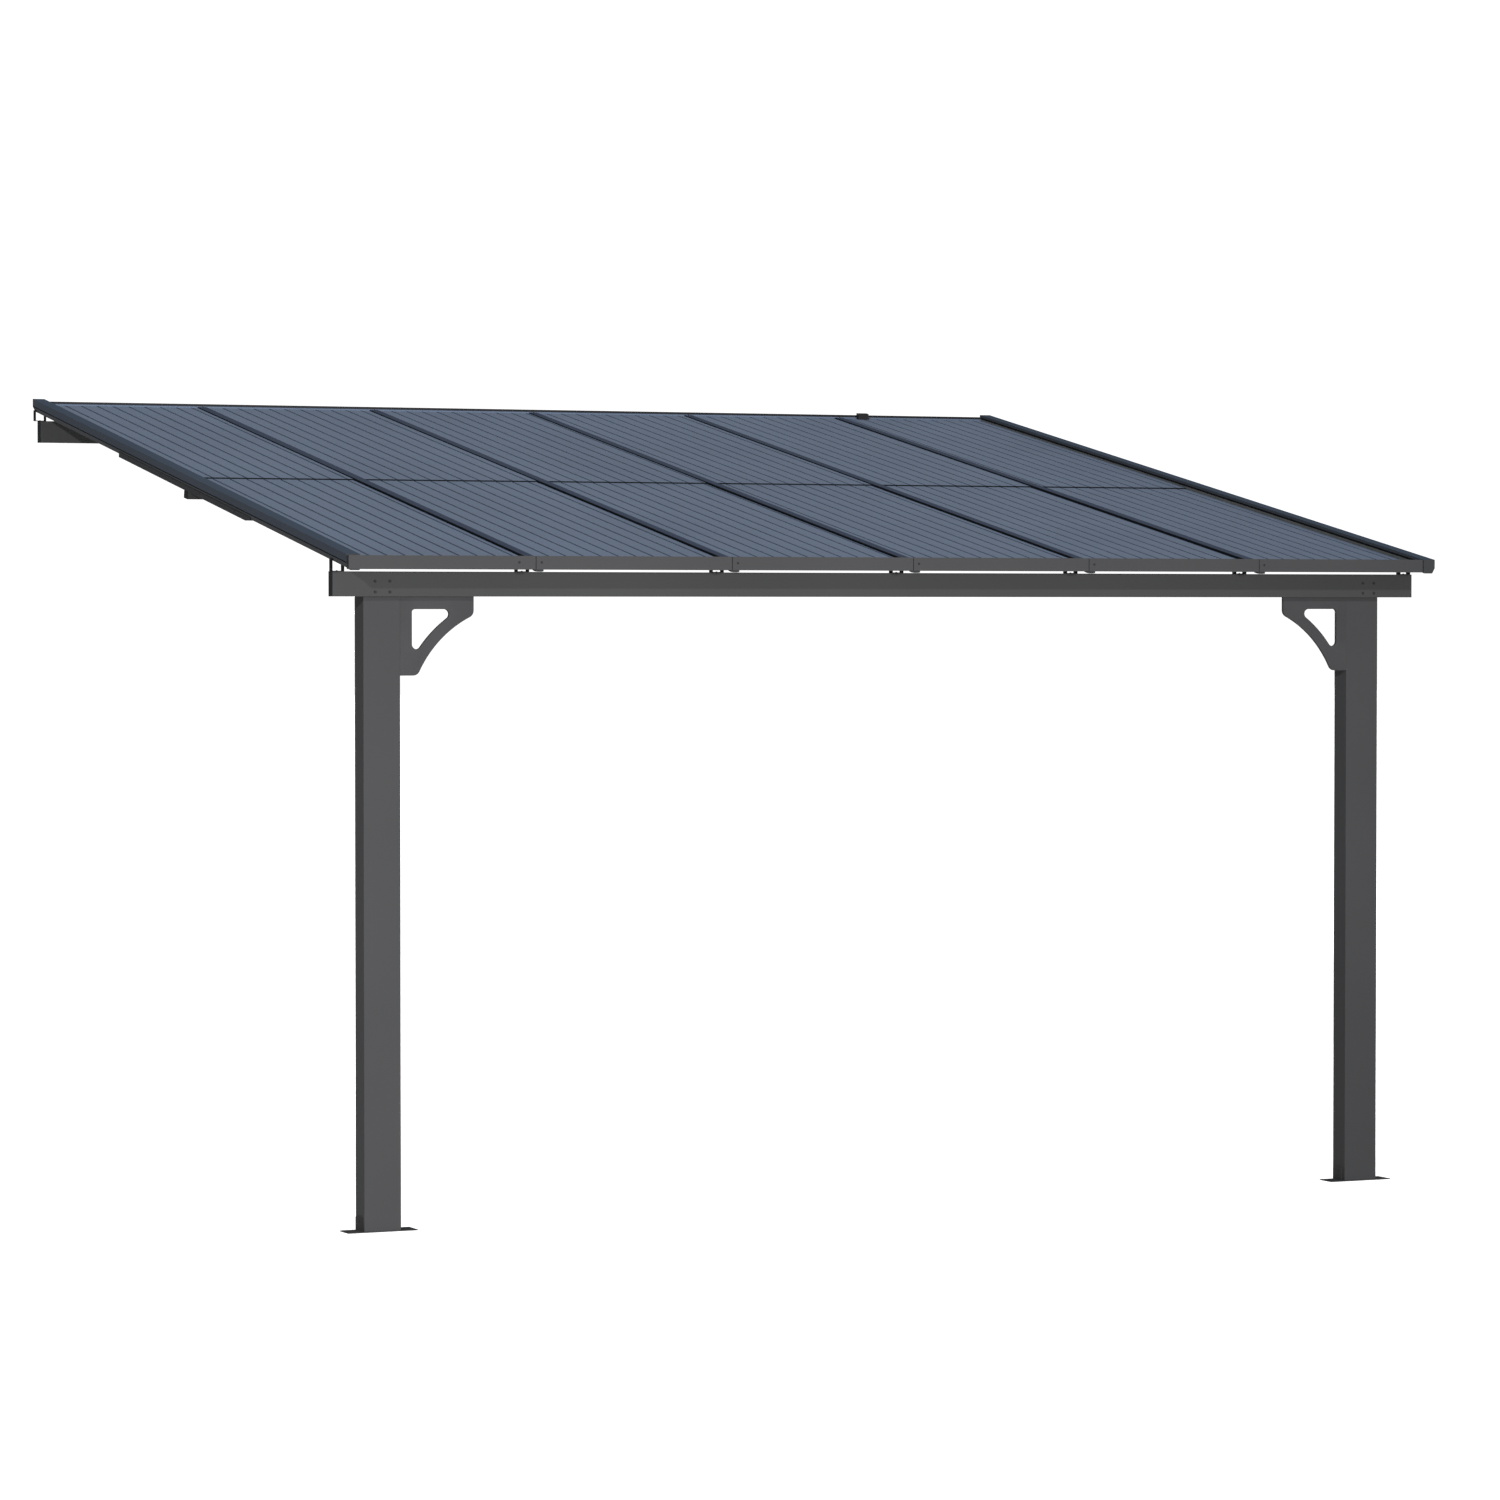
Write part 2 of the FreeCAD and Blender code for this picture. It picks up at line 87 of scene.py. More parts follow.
def calculate(tree, operation, *values):
    node = addNode(tree, "Math")
    node.operation = operation
    for number, value in enumerate(values):
        tree.links.new(value, node.inputs[number])
    return node.outputs["Value"]


def colourRamp(tree, value, stops):
    # colours at their places between 0 and 1
    ramp = addNode(tree, "ValToRGB")
    elements = ramp.color_ramp.elements
    while len(elements) < len(stops):
        elements.new(0.5)
    for element, (position, colour) in zip(elements, stops):
        element.position = position
        element.color = colour
    tree.links.new(value, ramp.inputs["Fac"])
    return ramp.outputs["Color"]


def multiply(tree, first, second):
    # the product of two colours
    mix = addNode(tree, "Mix")
    mix.data_type = "RGBA"
    mix.blend_type = "MULTIPLY"
    mix.inputs["Factor"].default_value = 1.0
    tree.links.new(first, mix.inputs["A"])
    tree.links.new(second, mix.inputs["B"])
    return mix.outputs["Result"]


def faceDirection(tree, axis):
    # how far a face looks along one axis of the world, from -1 to 1
    facing = addNode(tree, "NewGeometry")
    axes = addNode(tree, "SeparateXYZ")
    tree.links.new(facing.outputs["Normal"], axes.inputs["Vector"])
    return axes.outputs[axis]


# paint and metal finishes

facingStops = {"underColour": 0.3, "sideColour": 0.5, "topColour": 0.8}       # 0 looks down, 1 looks up
ribFlanks = {"level": 0.1, "steep": 0.5}           # how far a rib's face leans sideways


def paintedLightByFacing(tree, finish):
    # painted light: one colour on faces that look up, one on upright faces and one on faces that look down,
    # standing in for how the sky and the floor light them; the bluish colour on top is a painted sky
    # reflection
    upness = remap(tree, faceDirection(tree, "Z"), (-1.0, 1.0), (0.0, 1.0))
    stops = [(position, lit(*finish[colour])) for colour, position in facingStops.items()]
    return colourRamp(tree, upness, stops)


def paintedFlankShade(tree, finish):
    # painted shade: the flanks of the ribs are painted darker than the flats between them
    lean = calculate(tree, "ABSOLUTE", faceDirection(tree, "X"))
    return remap(tree, lean, (ribFlanks["level"], ribFlanks["steep"]), (1.0, finish["ribShade"]))


def powderCoat(name, finish):
    material, tree = newMaterial(name)
    drift = noise(tree, finish["driftScale"], finish["driftDetail"])     # slow drift of the paint's tone
    speck = noise(tree, finish["speckScale"], finish["speckDetail"])     # fine texture of baked powder
    base = Vector(lit(*finish["colour"])[:3])
    darkest, lightest = base * (1 - finish["drift"]), base * (1 + finish["drift"])
    start, end = finish["driftRange"]
    colour = colourRamp(tree, drift, [(start, (*darkest, 1)), (end, (*lightest, 1))])
    # painted light: the rafter's colour is set by which way each face looks
    if "topColour" in finish:
        colour = multiply(tree, colour, paintedLightByFacing(tree, finish))
    # painted shade on the flanks of the ribs
    if "ribShade" in finish:
        colour = multiply(tree, colour, paintedFlankShade(tree, finish))
    smoothest = finish["roughness"] - finish["glossSwing"]
    roughest = finish["roughness"] + finish["glossSwing"]
    bump = addNode(tree, "Bump", {"Strength": finish["bump"], "Distance": finish["grain"]})
    shader = addNode(tree, "BsdfPrincipled", {"Specular IOR Level": finish["specular"]})
    tree.links.new(speck, bump.inputs["Height"])
    tree.links.new(colour, shader.inputs["Base Color"])
    tree.links.new(remap(tree, speck, (0.0, 1.0), (smoothest, roughest)), shader.inputs["Roughness"])
    tree.links.new(bump.outputs["Normal"], shader.inputs["Normal"])
    tree.links.new(shader.outputs["BSDF"], addNode(tree, "OutputMaterial").inputs["Surface"])
    return material


usualFinish = {"drift": 0.05, "driftScale": 2.0, "driftDetail": 3.0, "driftRange": (0.3, 0.7),
               "speckScale": 420, "speckDetail": 2.0, "bump": 0.12, "grain": 0.0004,
               "roughness": 0.5, "glossSwing": 0.05, "specular": 0.01}
softFinish = {"drift": 0.08, "driftScale": 12.0, "speckScale": 500, "bump": 0.1, "roughness": 0.8,
              "specular": 0.0}
finishes = {
    "post": {"colour": (42, 42, 43), "driftScale": 1.3},
    "beam": {"colour": (42, 42, 42), "driftScale": 1.1},
    "brace": {"colour": (42, 42, 43), "drift": 0.07, "driftScale": 9.0, "speckScale": 260, "bump": 0.3,
              "roughness": 0.55},
    "foot": {"colour": (43, 43, 44), "drift": 0.06, "driftScale": 6.0, "roughness": 0.6, "specular": 0.0},
    # painted light: the rafter's colours are set by which way each face looks, with a painted sky reflection
    # on top
    "rafter": {"colour": (255, 255, 255), "topColour": (42, 49, 58), "sideColour": (43, 47, 53),
               "underColour": (48, 49, 51), "driftScale": 1.2, "roughness": 0.6, "specular": 0.0},
    "wallStub": {"colour": (26, 26, 27)},
    # painted light: the wall beam has the front beam's paint made lighter, standing in for light that the
    # roof keeps from it
    "wallBeamLightened": {"colour": (49, 49, 49), "driftScale": 1.1},
    "beamCap": {"colour": (24, 25, 26), "driftScale": 9.0, "roughness": 0.6},
    "cover": {"colour": (28, 36, 50), "driftScale": 1.2, "specular": 0.02},
    "sleeve": {"colour": (34, 35, 37), "driftScale": 3.0},
    "clip": {"colour": (13, 13, 14), "driftScale": 9.0, "roughness": 0.45},
    "end_cap": {"colour": (37, 38, 39), "driftScale": 9.0},
    "gutter": {"colour": (42, 42, 43), "drift": 0.04},
    # painted shade on the flanks of the sheets' ribs, set by ribShade
    "sheet": {"colour": (62, 71, 85), "ribShade": 0.6, "drift": 0.06, "driftScale": 1.6, "speckScale": 350,
              "bump": 0.15, "roughness": 0.6, "specular": 0.05},
    "sealant": {"colour": (64, 66, 66), **softFinish},
    "rubber": {"colour": (14, 15, 17), **softFinish},
    "bolt": {"colour": (27, 27, 28), "driftScale": 40.0, "speckScale": 600, "bump": 0.1, "specular": 0.03},
    "flashing": {"colour": (15, 16, 19), "specular": 0.05},
}
paints = {name: powderCoat(name + "Paint", {**usualFinish, **finish}) for name, finish in finishes.items()}

# nodes whose paint differs from their slot's
# the wall beam's lighter paint is painted light
ownPaint = {"wall_beam": "wallBeamLightened", "beam_end_caps": "beamCap", "wall_stub": "wallStub"}
slotOf = {part["node"]: part["material_slot"] for part in frame["record"]["subparts"]}
for name, node in nodes.items():
    node.data.materials.clear()
    node.data.materials.append(paints[ownPaint.get(name, slotOf[name])])
print("paints:", len(paints))


# modelling by hand

upwards, downwards, forwards = Vector((0, 0, 1)), Vector((0, 0, -1)), Vector((0, -1, 0))
sameWay = 0.9                     # a face looks some way when this much of its normal does
quarter = math.pi / 2
towards = {"front": (quarter, 0, 0), "back": (-quarter, 0, 0), "left": (0, -quarter, 0),
           "right": (0, quarter, 0), "up": (0, 0, 0)}          # turns of a bolt that is modelled upwards


def clearSelection():
    bpy.ops.object.select_all(action="DESELECT")


def selectOnly(piece):
    clearSelection()
    piece.select_set(True)
    bpy.context.view_layer.objects.active = piece


def pickFaces(way):
    bpy.ops.mesh.select_mode(type="FACE")
    bpy.ops.mesh.select_all(action="DESELECT")
    shape = bmesh.from_edit_mesh(bpy.context.object.data)
    for face in shape.faces:
        if face.normal.dot(way) > sameWay:
            face.select_set(True)
    bmesh.update_edit_mesh(bpy.context.object.data)


def insetAndLift(inset, lift):
    bpy.ops.mesh.inset(thickness=inset)
    bpy.ops.transform.translate(value=(0, 0, lift))


def place(piece, spot, turn):
    # bakes the place into the mesh, so that the object itself stays at the origin
    selectOnly(piece)
    piece.rotation_euler = turn
    piece.location = spot
    bpy.ops.object.transform_apply(location=True, rotation=True, scale=True)


def settle(piece, name, paint):
    piece.name = name
    piece.data.name = name
    piece.data.materials.clear()
    piece.data.materials.append(paint)
    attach(piece, "root")


# shares of the flange's height, of the head's radius and of the head's height
boltForm = {"flangeSides": 20, "chamfer": 0.5, "crownInset": 0.16, "crownLift": 0.14, "dishInset": 0.3,
            "dishSink": 0.12}


def hexBolt(spec):
    # hex head on a round flange, modelled upwards from its seat
    clearSelection()
    bpy.ops.mesh.primitive_cylinder_add(vertices=boltForm["flangeSides"], radius=spec["flange"],
                                        depth=spec["flangeHeight"],
                                        location=(0, 0, spec["flangeHeight"] / 2))
    flange = bpy.context.object
    bpy.ops.object.mode_set(mode="EDIT")
    pickFaces(upwards)
    bpy.ops.mesh.bevel(offset=spec["flangeHeight"] * boltForm["chamfer"], segments=1, affect="EDGES")
    bpy.ops.object.mode_set(mode="OBJECT")
    clearSelection()
    bpy.ops.mesh.primitive_cylinder_add(vertices=6, radius=spec["head"], depth=spec["headHeight"],
                                        location=(0, 0, spec["flangeHeight"] + spec["headHeight"] / 2))
    head = bpy.context.object
    bpy.ops.object.mode_set(mode="EDIT")
    pickFaces(upwards)
    insetAndLift(spec["head"] * boltForm["crownInset"], spec["headHeight"] * boltForm["crownLift"])
    insetAndLift(spec["head"] * boltForm["dishInset"], -spec["headHeight"] * boltForm["dishSink"])
    bpy.ops.object.mode_set(mode="OBJECT")
    flange.select_set(True)
    bpy.ops.object.join()
    return head


# shares of the head's radius and of the dome's height
screwForm = {"sides": 16, "shoulderInset": 0.22, "shoulderLift": 0.7, "topInset": 0.3, "topLift": 0.3,
             "socketInset": 0.08, "socketDepth": 0.8}


def panScrew(spec):
    # domed head with a socket, modelled upwards from its seat
    clearSelection()
    bpy.ops.mesh.primitive_cylinder_add(vertices=screwForm["sides"], radius=spec["head"],
                                        depth=spec["rim"], location=(0, 0, spec["rim"] / 2))
    screw = bpy.context.object
    bpy.ops.object.mode_set(mode="EDIT")
    pickFaces(upwards)
    insetAndLift(spec["head"] * screwForm["shoulderInset"], spec["dome"] * screwForm["shoulderLift"])
    insetAndLift(spec["head"] * screwForm["topInset"], spec["dome"] * screwForm["topLift"])
    bpy.ops.mesh.inset(thickness=spec["head"] * screwForm["socketInset"])
    socket = (0, 0, -spec["dome"] * screwForm["socketDepth"])
    bpy.ops.mesh.extrude_region_move(TRANSFORM_OT_translate={"value": socket})
    bpy.ops.object.mode_set(mode="OBJECT")
    return screw


def copies(master, name, paint, spots):
    # one piece for each spot; a spot is a place and the turn that points the head outwards
    for number, (spot, turn) in enumerate(spots, 1):
        selectOnly(master)
        bpy.ops.object.duplicate(linked=False)
        piece = bpy.context.object
        place(piece, spot, turn)
        settle(piece, f"{name}{number}", paint)
    bpy.data.objects.remove(master, do_unlink=True)
    print(name + ":", len(spots))


def roundedBlock(size, rounding, way, segments=1):
    # a block with rounded edges round the face that looks some way
    clearSelection()
    bpy.ops.mesh.primitive_cube_add(size=1, location=(0, 0, 0))
    block = bpy.context.object
    block.scale = size
    bpy.ops.object.transform_apply(location=True, rotation=True, scale=True)
    bpy.ops.object.mode_set(mode="EDIT")
    pickFaces(way)
    bpy.ops.mesh.bevel(offset=rounding, segments=segments, affect="EDGES")
    bpy.ops.object.mode_set(mode="OBJECT")
    return block


# small hardware that the solids leave out, in metres

beamBox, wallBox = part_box("front_beam"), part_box("wall_beam")
postBox, footBox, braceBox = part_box("left_post"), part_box("left_foot"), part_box("left_brace")
clipBoxes = {"front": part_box("front_clips"), "wall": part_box("wall_clips")}
frontY, wallFrontY = beamBox[0][1], wallBox[0][1]

# bolts through the front beam into the posts
beamBolts = {"flange": 0.0064, "flangeHeight": 0.0014, "head": 0.0052, "headHeight": 0.0036,
             "fromOuterEdge": (0.0294, 0.0829), "rightFromOuterEdge": (0.0380, 0.0844),
             "belowTop": (0.0332, 0.0697)}
spots = []
for drop in beamBolts["belowTop"]:
    z = beamBox[1][2] - drop
    for reach in beamBolts["fromOuterEdge"]:
        spots.append(((postBox[0][0] + reach, frontY, z), towards["front"]))
    for reach in beamBolts["rightFromOuterEdge"]:
        spots.append(((-postBox[0][0] - reach, frontY, z), towards["front"]))
copies(hexBolt(beamBolts), "beamBolt", paints["bolt"], spots)


# places on the roof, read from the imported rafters
pitch = math.radians(10.32)
edgeHalf = 0.024                  # half the width of an edge rafter
rafterCount = 7
rafterBoxes = [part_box(f"rafter_{number}") for number in range(1, rafterCount + 1)]
rafterTop = rafterBoxes[0][1]
rafterX = [(low[0] + high[0]) / 2 for low, high in rafterBoxes]
rafterX[0] = rafterBoxes[0][0][0] + edgeHalf
rafterX[-1] = rafterBoxes[-1][1][0] - edgeHalf


def roofZ(y, drop):
    # a height under the line of the rafters' tops
    return rafterTop[2] + math.tan(pitch) * (y - rafterTop[1]) - drop


def byRafter(spec, key, x):
    # a value that is one thing at the two edge rafters and another at the inner ones
    return spec[("edge" if x in (rafterX[0], rafterX[-1]) else "inner") + key]


# screws in the clips' legs and bases
clipScrews = {"head": 0.0036, "rim": 0.0008, "dome": 0.0014, "outer": 0.022, "innerDrop": 0.0415,
              "edgeDrop": 0.0455, "base": 0.002}
spots = []
for clipBox, beamTop in ((clipBoxes["front"], beamBox[1][2]), (clipBoxes["wall"], wallBox[1][2])):
    y = (clipBox[0][1] + clipBox[1][1]) / 2
    for x in rafterX:
        z = roofZ(y, byRafter(clipScrews, "Drop", x))
        spots.append(((x - clipScrews["outer"], y, z), towards["left"]))
        spots.append(((x + clipScrews["outer"], y, z), towards["right"]))
        spots.append(((x, y, beamTop + clipScrews["base"]), towards["up"]))
copies(panScrew(clipScrews), "clipScrew", paints["bolt"], spots)

# screws along the splice sleeves
sleeveScrews = {"head": 0.004, "rim": 0.0008, "dome": 0.0016, "outer": 0.022, "innerDrop": 0.0425,
                "edgeDrop": 0.0455, "stations": (-2.40, -2.02, -1.58, -1.20)}
spots = []
for x in rafterX:
    for y in sleeveScrews["stations"]:
        z = roofZ(y, byRafter(sleeveScrews, "Drop", x))
        spots.append(((x - sleeveScrews["outer"], y, z), towards["left"]))
        spots.append(((x + sleeveScrews["outer"], y, z), towards["right"]))
copies(panScrew(sleeveScrews), "sleeveScrew", paints["bolt"], spots)

# bolts from the cross rail up into the sleeves
railBolts = {"flange": 0.008, "flangeHeight": 0.0012, "head": 0.0062, "headHeight": 0.004,
             "railY": -1.874, "topDrop": 0.060, "railHeight": 0.027}
railUnderY = railBolts["railY"] + railBolts["railHeight"] * math.sin(pitch)
railUnderZ = roofZ(railBolts["railY"], railBolts["topDrop"]) - railBolts["railHeight"] * math.cos(pitch)
spots = [((x, railUnderY, railUnderZ), (math.pi + pitch, 0, 0)) for x in rafterX]
copies(hexBolt(railBolts), "railBolt", paints["bolt"], spots)

# screws that hold the gutter on the rafters' ends, and one more in its first length
gutterScrews = {"head": 0.0042, "rim": 0.0008, "dome": 0.0015, "z": -0.5398, "extraX": -1.5092}
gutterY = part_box("gutter_1")[0][1]
screwX = rafterX[1:-1] + [gutterScrews["extraX"]]
spots = [((x, gutterY, gutterScrews["z"]), towards["front"]) for x in screwX]
copies(panScrew(gutterScrews), "gutterScrew", paints["bolt"], spots)

# rubber joints between the gutter's lengths, and a bead against the right end cap
gutterJoints = {"recess": 0.0006, "depth": 0.012, "trim": 0.0006, "rounding": 0.0003,
                "beadWidth": 0.0018, "beadProud": 0.0004}
gutterBoxes = [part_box(f"gutter_{number}") for number in range(1, len(rafterX))]
gutterLow, gutterHigh = gutterBoxes[0][0][2], gutterBoxes[0][1][2]
gutterMiddle = (gutterLow + gutterHigh) / 2
jointHeight = gutterHigh - gutterLow - 2 * gutterJoints["trim"]
jointY = gutterY + gutterJoints["recess"] + gutterJoints["depth"] / 2
for number, (leftBox, rightBox) in enumerate(zip(gutterBoxes, gutterBoxes[1:]), 1):
    gap = rightBox[0][0] - leftBox[1][0]
    joint = roundedBlock((gap, gutterJoints["depth"], jointHeight), gutterJoints["rounding"], forwards)
    place(joint, (leftBox[1][0] + gap / 2, jointY, gutterMiddle), towards["up"])
    settle(joint, f"gutterJoint{number}", paints["rubber"])
bead = roundedBlock((gutterJoints["beadWidth"], 2 * gutterJoints["beadProud"], jointHeight),
                    gutterJoints["rounding"], forwards)
place(bead, (gutterBoxes[-1][1][0], gutterY, gutterMiddle), towards["up"])
settle(bead, "gutterBead", paints["rubber"])
print("gutter joints:", len(gutterBoxes) - 1)

# small feet of the caps under the rafters' front ends, all but the last; they narrow downwards
capFeet = {"front": -3.5385, "depth": 0.024, "drop": 0.0506, "rounding": 0.0012,
           "edgeInset": 0.0055, "edgeWidth": 0.036, "edgeHeight": 0.0038, "edgeNarrowing": 0.92,
           "innerInset": 0.0, "innerWidth": 0.031, "innerHeight": 0.0072, "innerNarrowing": 0.5}
capFootY = capFeet["front"] + capFeet["depth"] / 2
for number, x in enumerate(rafterX[:-1], 1):
    width, height = byRafter(capFeet, "Width", x), byRafter(capFeet, "Height", x)
    capFoot = roundedBlock((width, capFeet["depth"], height), capFeet["rounding"], downwards)
    bpy.ops.object.mode_set(mode="EDIT")
    pickFaces(downwards)
    bpy.ops.transform.resize(value=(byRafter(capFeet, "Narrowing", x), 1, 1))
    bpy.ops.object.mode_set(mode="OBJECT")
    capFootZ = roofZ(capFootY, capFeet["drop"] + height / 2)
    place(capFoot, (x + byRafter(capFeet, "Inset", x), capFootY, capFootZ), (pitch, 0, 0))
    settle(capFoot, f"capFoot{number}", paints["end_cap"])
print("cap feet:", len(rafterX) - 1)

# screws through the braces' flanges into the posts, and through their laps into the beam
braceScrews = {"head": 0.0055, "rim": 0.001, "dome": 0.002, "flange": 0.003, "plate": 0.012,
               "fromBack": 0.014, "flangeBelowTop": (0.08, 0.18, 0.28),
               "lapAcross": (0.06, 0.15, 0.24), "lapBelowTop": 0.025}
spots = []
for drop in braceScrews["flangeBelowTop"]:
    x, y = braceBox[0][0] + braceScrews["flange"], braceBox[1][1] - braceScrews["fromBack"]
    spots.append(((x, y, braceBox[1][2] - drop), towards["right"]))
    spots.append(((-x, y, braceBox[1][2] - drop), towards["left"]))
for across in braceScrews["lapAcross"]:
    x, y = braceBox[0][0] + across, braceBox[0][1] + braceScrews["plate"]
    spots.append(((x, y, braceBox[1][2] - braceScrews["lapBelowTop"]), towards["back"]))
    spots.append(((-x, y, braceBox[1][2] - braceScrews["lapBelowTop"]), towards["back"]))
copies(panScrew(braceScrews), "braceScrew", paints["bolt"], spots)

# bolts in the wall beam, in the same holes as the part's mounts
mounts = {mount["name"]: mount for mount in frame["record"]["mounts"]}
wallBolts = {"flange": 0.0115, "flangeHeight": 0.002, "head": 0.0088, "headHeight": 0.0065}
spots = []
for pair in ("inner", "middle", "outer"):
    reach = mounts["wall_bolts_" + pair]["dims"]["spacing_x_mm"] / 2000         # half the spacing, in metres
    spots += [((side * reach, wallFrontY, 0), towards["front"]) for side in (-1, 1)]
copies(hexBolt(wallBolts), "wallBolt", paints["bolt"], spots)

# bolts through the feet's tabs into the left post, and their mirror images on the right one
tabBolts = {"flange": 0.0058, "flangeHeight": 0.0012, "head": 0.0048, "headHeight": 0.0034,
            "fromBack": 0.037, "height": 0.037, "proud": 0.0027}
tabY, tabZ = footBox[1][1] - tabBolts["fromBack"], footBox[0][2] + tabBolts["height"]
leftX, rightX = postBox[0][0] - tabBolts["proud"], postBox[1][0] + tabBolts["proud"]
spots = [((leftX, tabY, tabZ), towards["left"]), ((rightX, tabY, tabZ), towards["right"]),
         ((-leftX, tabY, tabZ), towards["right"]), ((-rightX, tabY, tabZ), towards["left"])]
copies(hexBolt(tabBolts), "tabBolt", paints["bolt"], spots)


# seals and sealant; drops are measured from the line of the rafters' tops

stripEdges = {"alongSlope": 0.3, "acrossBay": 0.25, "segments": 2}     # roundings, as shares of a strip


def roofStrip(name, spec, x, topDrop, bottomDrop, start, end):
    # a strip along the slope, with its upper edges rounded
    height = bottomDrop - topDrop
    middle = (start + end) / 2
    size = (spec["width"], (end - start) / math.cos(pitch), height * math.cos(pitch))
    rounding = min(spec["width"], height) * stripEdges["alongSlope"]
    strip = roundedBlock(size, rounding, upwards, stripEdges["segments"])
    place(strip, (x, middle, roofZ(middle, (topDrop + bottomDrop) / 2)), (pitch, 0, 0))
    settle(strip, name, paints[spec["paint"]])


def sealPair(name, spec, x):
    # one strip along the lower sheet and one along the upper sheet, which lies higher
    roofStrip("lower" + name, spec, x, spec["top"], spec["lowerSheet"], spec["front"], spec["seam"])
    roofStrip("upper" + name, spec, x, spec["top"], spec["upperSheet"], spec["seam"], spec["back"])


def crossStrip(name, spec, left, right):
    # a strip across one bay, with its front edges rounded
    strip = roundedBlock((right - left, spec["depth"], spec["bottomDrop"] - spec["topDrop"]),
                         spec["depth"] * stripEdges["acrossBay"], forwards, stripEdges["segments"])
    y = spec["rear"] - spec["depth"] / 2
    z = roofZ(y, (spec["topDrop"] + spec["bottomDrop"]) / 2)
    place(strip, ((left + right) / 2, y, z), (pitch, 0, 0))
    settle(strip, name, paints["rubber"])


# rubber seals between the cover strips and the sheets
coverSeals = {"width": 0.0022, "slot": "cover", "paint": "rubber", "reach": 0.0181, "top": 0.0200,
              "upperSheet": 0.0229, "lowerSheet": 0.0269, "front": -3.538, "seam": -1.789, "back": -0.0149}
for number, x in enumerate(rafterX[1:-1], 1):
    for side, way in (("Left", -1), ("Right", 1)):
        sealPair(f"Seal{side}{number}", coverSeals, x + way * coverSeals["reach"])

# on the edge rafters' inner faces, a rubber gasket above a strip of bare sealant
edgeSeals = {"width": 0.0014, "slot": "rafter", "reach": 0.0248, "front": -3.535, "seam": -1.789,
             "back": -0.0149}
edgeBands = {"Gasket": {"paint": "rubber", "top": 0.0095, "lowerSheet": 0.0165, "upperSheet": 0.0165},
             "Sealant": {"paint": "sealant", "top": 0.0165, "lowerSheet": 0.0269, "upperSheet": 0.0229}}
for side, x, way in (("Left", rafterX[0], 1), ("Right", rafterX[-1], -1)):
    for band, look in edgeBands.items():
        sealPair(band + side, {**edgeSeals, **look}, x + way * edgeSeals["reach"])

# painted shadow: a black strip in rubber paint stands for the shadow line under the step in the edge
# rafters' groove, which starts further forward on the right
grooveShadowStrips = {"width": 0.0018, "slot": "rafter", "paint": "rubber", "reach": -0.0226, "top": 0.0271,
                "bottom": 0.0309, "leftFront": -3.536, "rightFront": -3.557, "back": -0.0025}
for side, x, way, front in (("Left", rafterX[0], 1, grooveShadowStrips["leftFront"]),
                            ("Right", rafterX[-1], -1, grooveShadowStrips["rightFront"])):
    roofStrip("groove" + side, grooveShadowStrips, x + way * grooveShadowStrips["reach"], grooveShadowStrips["top"],
              grooveShadowStrips["bottom"], front, grooveShadowStrips["back"])

# rubber under the upper sheets' front edges, and behind the sheets' rear ends
seamSeals = {"depth": 0.0035, "topDrop": 0.0227, "bottomDrop": 0.0268, "rear": -1.7882}
rearSeals = {"depth": 0.0026, "topDrop": 0.0232, "bottomDrop": 0.0306, "rear": -0.0012}
bayEnds = {"edgeInset": 0.0256, "innerInset": 0.0054}          # from a rafter's middle to the strip's end
for bay, (leftRafter, rightRafter) in enumerate(zip(rafterX, rafterX[1:]), 1):
    left = leftRafter + byRafter(bayEnds, "Inset", leftRafter)
    right = rightRafter - byRafter(bayEnds, "Inset", rightRafter)
    crossStrip(f"seamSeal{bay}", seamSeals, left, right)
    crossStrip(f"rearSeal{bay}", rearSeals, left, right)
print("seals ready")


# light, floor and camera

white = (1, 1, 1, 1)
ground = {"size": 200.0, "z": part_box("left_foot")[0][2], "below": 0.0005, "shade": 0.62, "glow": 0.57}
clearSelection()
bpy.ops.mesh.primitive_plane_add(size=ground["size"], location=(0, 0, ground["z"] - ground["below"]))
floor = bpy.context.object
floor.name = "studioFloor"
floorPaint, floorTree = newMaterial("floorPaint")
floorColour = (ground["shade"], ground["shade"], ground["shade"], 1)
floorShader = addNode(floorTree, "BsdfDiffuse", {"Color": floorColour})
floorGlow = addNode(floorTree, "Emission", {"Color": white, "Strength": ground["glow"]})  # whitens shadows
floorSum = addNode(floorTree, "AddShader")
floorTree.links.new(floorShader.outputs["BSDF"], floorSum.inputs[0])
floorTree.links.new(floorGlow.outputs["Emission"], floorSum.inputs[1])
floorTree.links.new(floorSum.outputs["Shader"], addNode(floorTree, "OutputMaterial").inputs["Surface"])
floor.data.materials.append(floorPaint)

sunlight = {"travel": (0.92, 1.0, -0.4), "strength": 3.4, "angle": 1.5}
bpy.ops.object.light_add(type="SUN")
sun = bpy.context.object
sun.name = "sun"
sun.data.energy = sunlight["strength"]
sun.data.angle = math.radians(sunlight["angle"])
sun.rotation_euler = Vector(sunlight["travel"]).to_track_quat("-Z", "Y").to_euler()

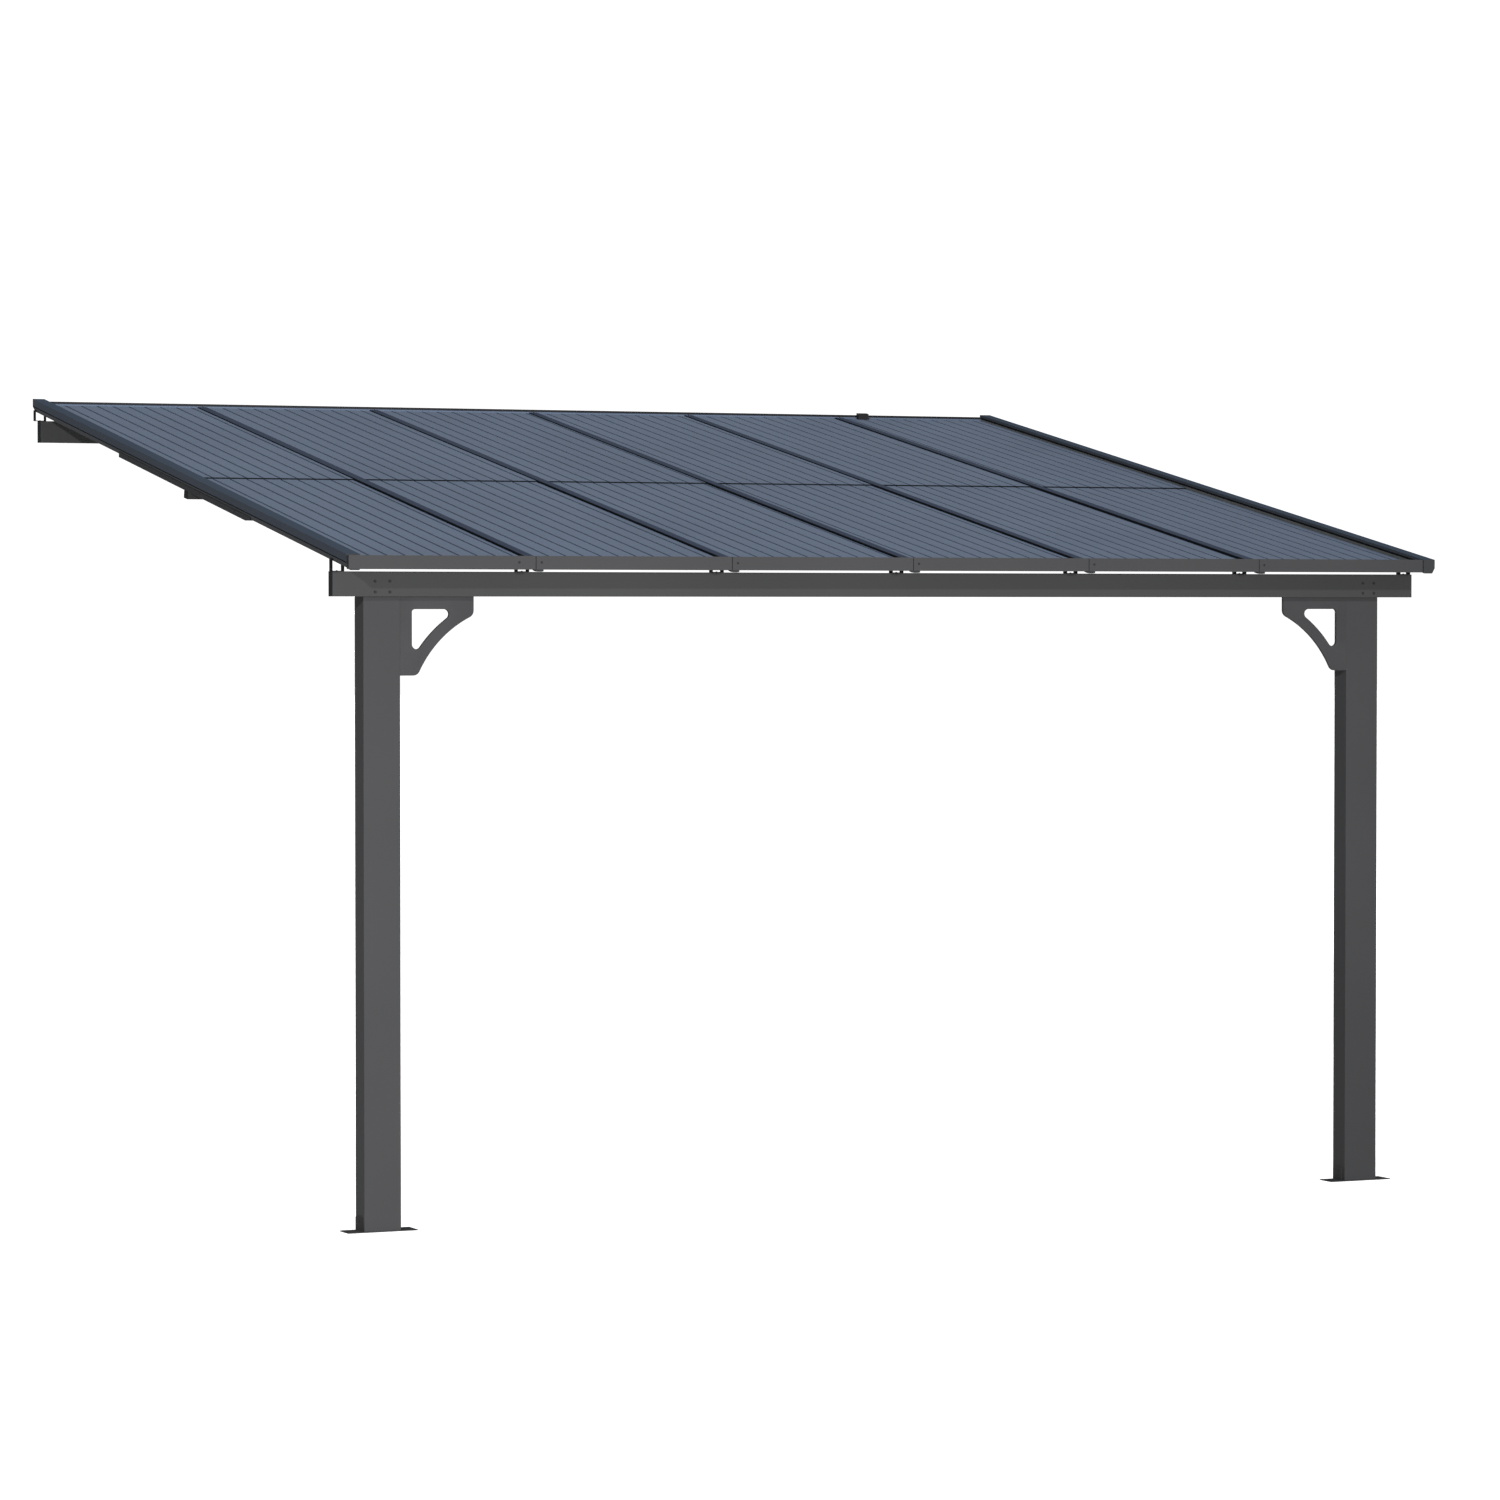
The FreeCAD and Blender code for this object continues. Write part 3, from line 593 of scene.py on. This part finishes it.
lamps = {
    "frontFill": {"place": (2.5, -36.0, 0.5), "aim": (-2.8, -3.4, -0.4), "power": 95000, "cone": 26.0,
                  "radius": 2.0},
    "backFill": {"place": (2.8, 34.0, 0.6), "aim": (0.0, -1.7, -1.2), "power": 160000, "cone": 18.0,
                 "radius": 2.0},
}
for name, lamp in lamps.items():
    bpy.ops.object.light_add(type="SPOT", location=lamp["place"])
    spot = bpy.context.object
    spot.name = name
    spot.data.energy = lamp["power"]
    spot.data.spot_size = math.radians(lamp["cone"])
    spot.data.spot_blend = 1.0
    spot.data.shadow_soft_size = lamp["radius"]
    travel = Vector(lamp["aim"]) - Vector(lamp["place"])
    spot.rotation_euler = travel.to_track_quat("-Z", "Y").to_euler()

# each band of the sky runs from one direction to another, and from one brightness to another
skyBands = {"sides": ((-0.2, 0.22), (0.05, 1.1)), "horizon": ((0.15, 0.28), (1.0, 0.25)),
            "ceiling": ((0.6, 0.8), (0.0, 2.4))}
backdrop = 1.1                    # the picture's own backdrop is plain white all round
world = bpy.data.worlds.new("studioWorld")
bpy.context.scene.world = world
world.use_nodes = True
sky = world.node_tree
sky.nodes.clear()
skyAxes = addNode(sky, "SeparateXYZ")
sky.links.new(addNode(sky, "TexCoord").outputs["Generated"], skyAxes.inputs["Vector"])
sides = remap(sky, skyAxes.outputs["X"], *skyBands["sides"], "SMOOTHSTEP")          # darker on the left
horizon = remap(sky, skyAxes.outputs["Z"], *skyBands["horizon"])
ceiling = remap(sky, skyAxes.outputs["Z"], *skyBands["ceiling"])
brightness = calculate(sky, "MAXIMUM", calculate(sky, "MULTIPLY", sides, horizon), ceiling)
skyLight = addNode(sky, "Background", {"Color": white})
plainWhite = addNode(sky, "Background", {"Color": white, "Strength": backdrop})
skySwitch = addNode(sky, "MixShader")
sky.links.new(brightness, skyLight.inputs["Strength"])
sky.links.new(addNode(sky, "LightPath").outputs["Is Camera Ray"], skySwitch.inputs["Fac"])
sky.links.new(skyLight.outputs["Background"], skySwitch.inputs[1])
sky.links.new(plainWhite.outputs["Background"], skySwitch.inputs[2])
sky.links.new(skySwitch.outputs["Shader"], addNode(sky, "OutputWorld").inputs["Surface"])

view = {"place": (-8.32746, -20.20988, -0.69305), "yaw": 24.76, "pitch": -1.54, "lens": 127.167,
        "sensor": 36.0, "reach": 200.0}
bpy.ops.object.camera_add(location=view["place"],
                          rotation=(math.radians(90 + view["pitch"]), 0, -math.radians(view["yaw"])))
camera = bpy.context.object
camera.name = "camera"
camera.data.lens = view["lens"]
camera.data.sensor_width = view["sensor"]
camera.data.clip_end = view["reach"]
bpy.context.scene.camera = camera
bpy.context.scene.view_settings.view_transform = "Standard"
print("studio ready")
